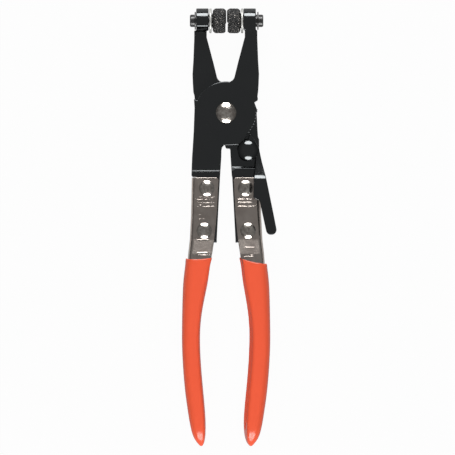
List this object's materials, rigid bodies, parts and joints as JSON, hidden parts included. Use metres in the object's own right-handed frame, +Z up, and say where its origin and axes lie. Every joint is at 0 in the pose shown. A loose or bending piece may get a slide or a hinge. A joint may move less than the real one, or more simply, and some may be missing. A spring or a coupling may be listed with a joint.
{
  "type": "spring clamp pliers",
  "caption": "Swivel-jaw pliers for spring hose clamps: crossed black stamped plates, knurled turning pads, a ratchet lock lever and orange dipped grips on pressed steel channels.",
  "frame": {"origin": "on the floor, under the middle of the box round the closed tool", "axes": "+Y from the grip ends towards the jaws, +Z up from the back to the lever's side, +X to the lever's side of the handles"},
  "size_m": [0.0496, 0.2301, 0.014],
  "materials": {
    "black_steel": "gloss",
    "black_lever": "satin",
    "nickel_steel": "polished",
    "plated_channel": "satin",
    "orange_vinyl": "satin",
    "spring_wire": "satin",
    "black_knurl": "matt",
    "black_pin": "satin",
    "bright_washer": "polished"
  },
  "bodies": {
    "rear_half": {"rear_arm_plate": "black_steel", "right_handle_channel": "plated_channel", "right_handle_rivets": "nickel_steel", "right_grip": "orange_vinyl", "pivot_rivet": "nickel_steel", "lever_rivet": "black_lever", "lever_spring": "spring_wire"},
    "front_half": {"front_arm_plate": "black_steel", "left_handle_channel": "plated_channel", "left_handle_rivets": "nickel_steel", "left_grip": "orange_vinyl"},
    "lock_lever": {"ratchet_lever": "black_lever"},
    "left_jaw": {"left_jaw_pad": "black_knurl", "left_jaw_pin": "black_pin", "left_jaw_washer": "bright_washer", "left_retaining_clip": "black_pin"},
    "right_jaw": {"right_jaw_pad": "black_knurl", "right_jaw_pin": "black_pin", "right_jaw_washer": "bright_washer", "right_retaining_clip": "black_pin"}
  },
  "joints": [
    {"name": "main_pivot", "type": "hinge", "parent": "rear_half", "child": "front_half", "pos_m": [-0.0016, 0.06005, 0.0067], "axis": [0, 0, -1], "range_deg": [0, 30]},
    {"name": "lever_pivot", "type": "hinge", "parent": "rear_half", "child": "lock_lever", "pos_m": [0.01005, 0.04035, 0.0067], "axis": [0, 0, 1], "range_deg": [-9, 6], "stiffness_Nm_per_rad": 0.05},
    {"name": "left_jaw_swivel", "type": "hinge", "parent": "rear_half", "child": "left_jaw", "pos_m": [-0.0016, 0.10835, 0.0067], "axis": [1, 0, 0], "continuous": true},
    {"name": "right_jaw_swivel", "type": "hinge", "parent": "front_half", "child": "right_jaw", "pos_m": [-0.0016, 0.10835, 0.0067], "axis": [1, 0, 0], "continuous": true}
  ]
}
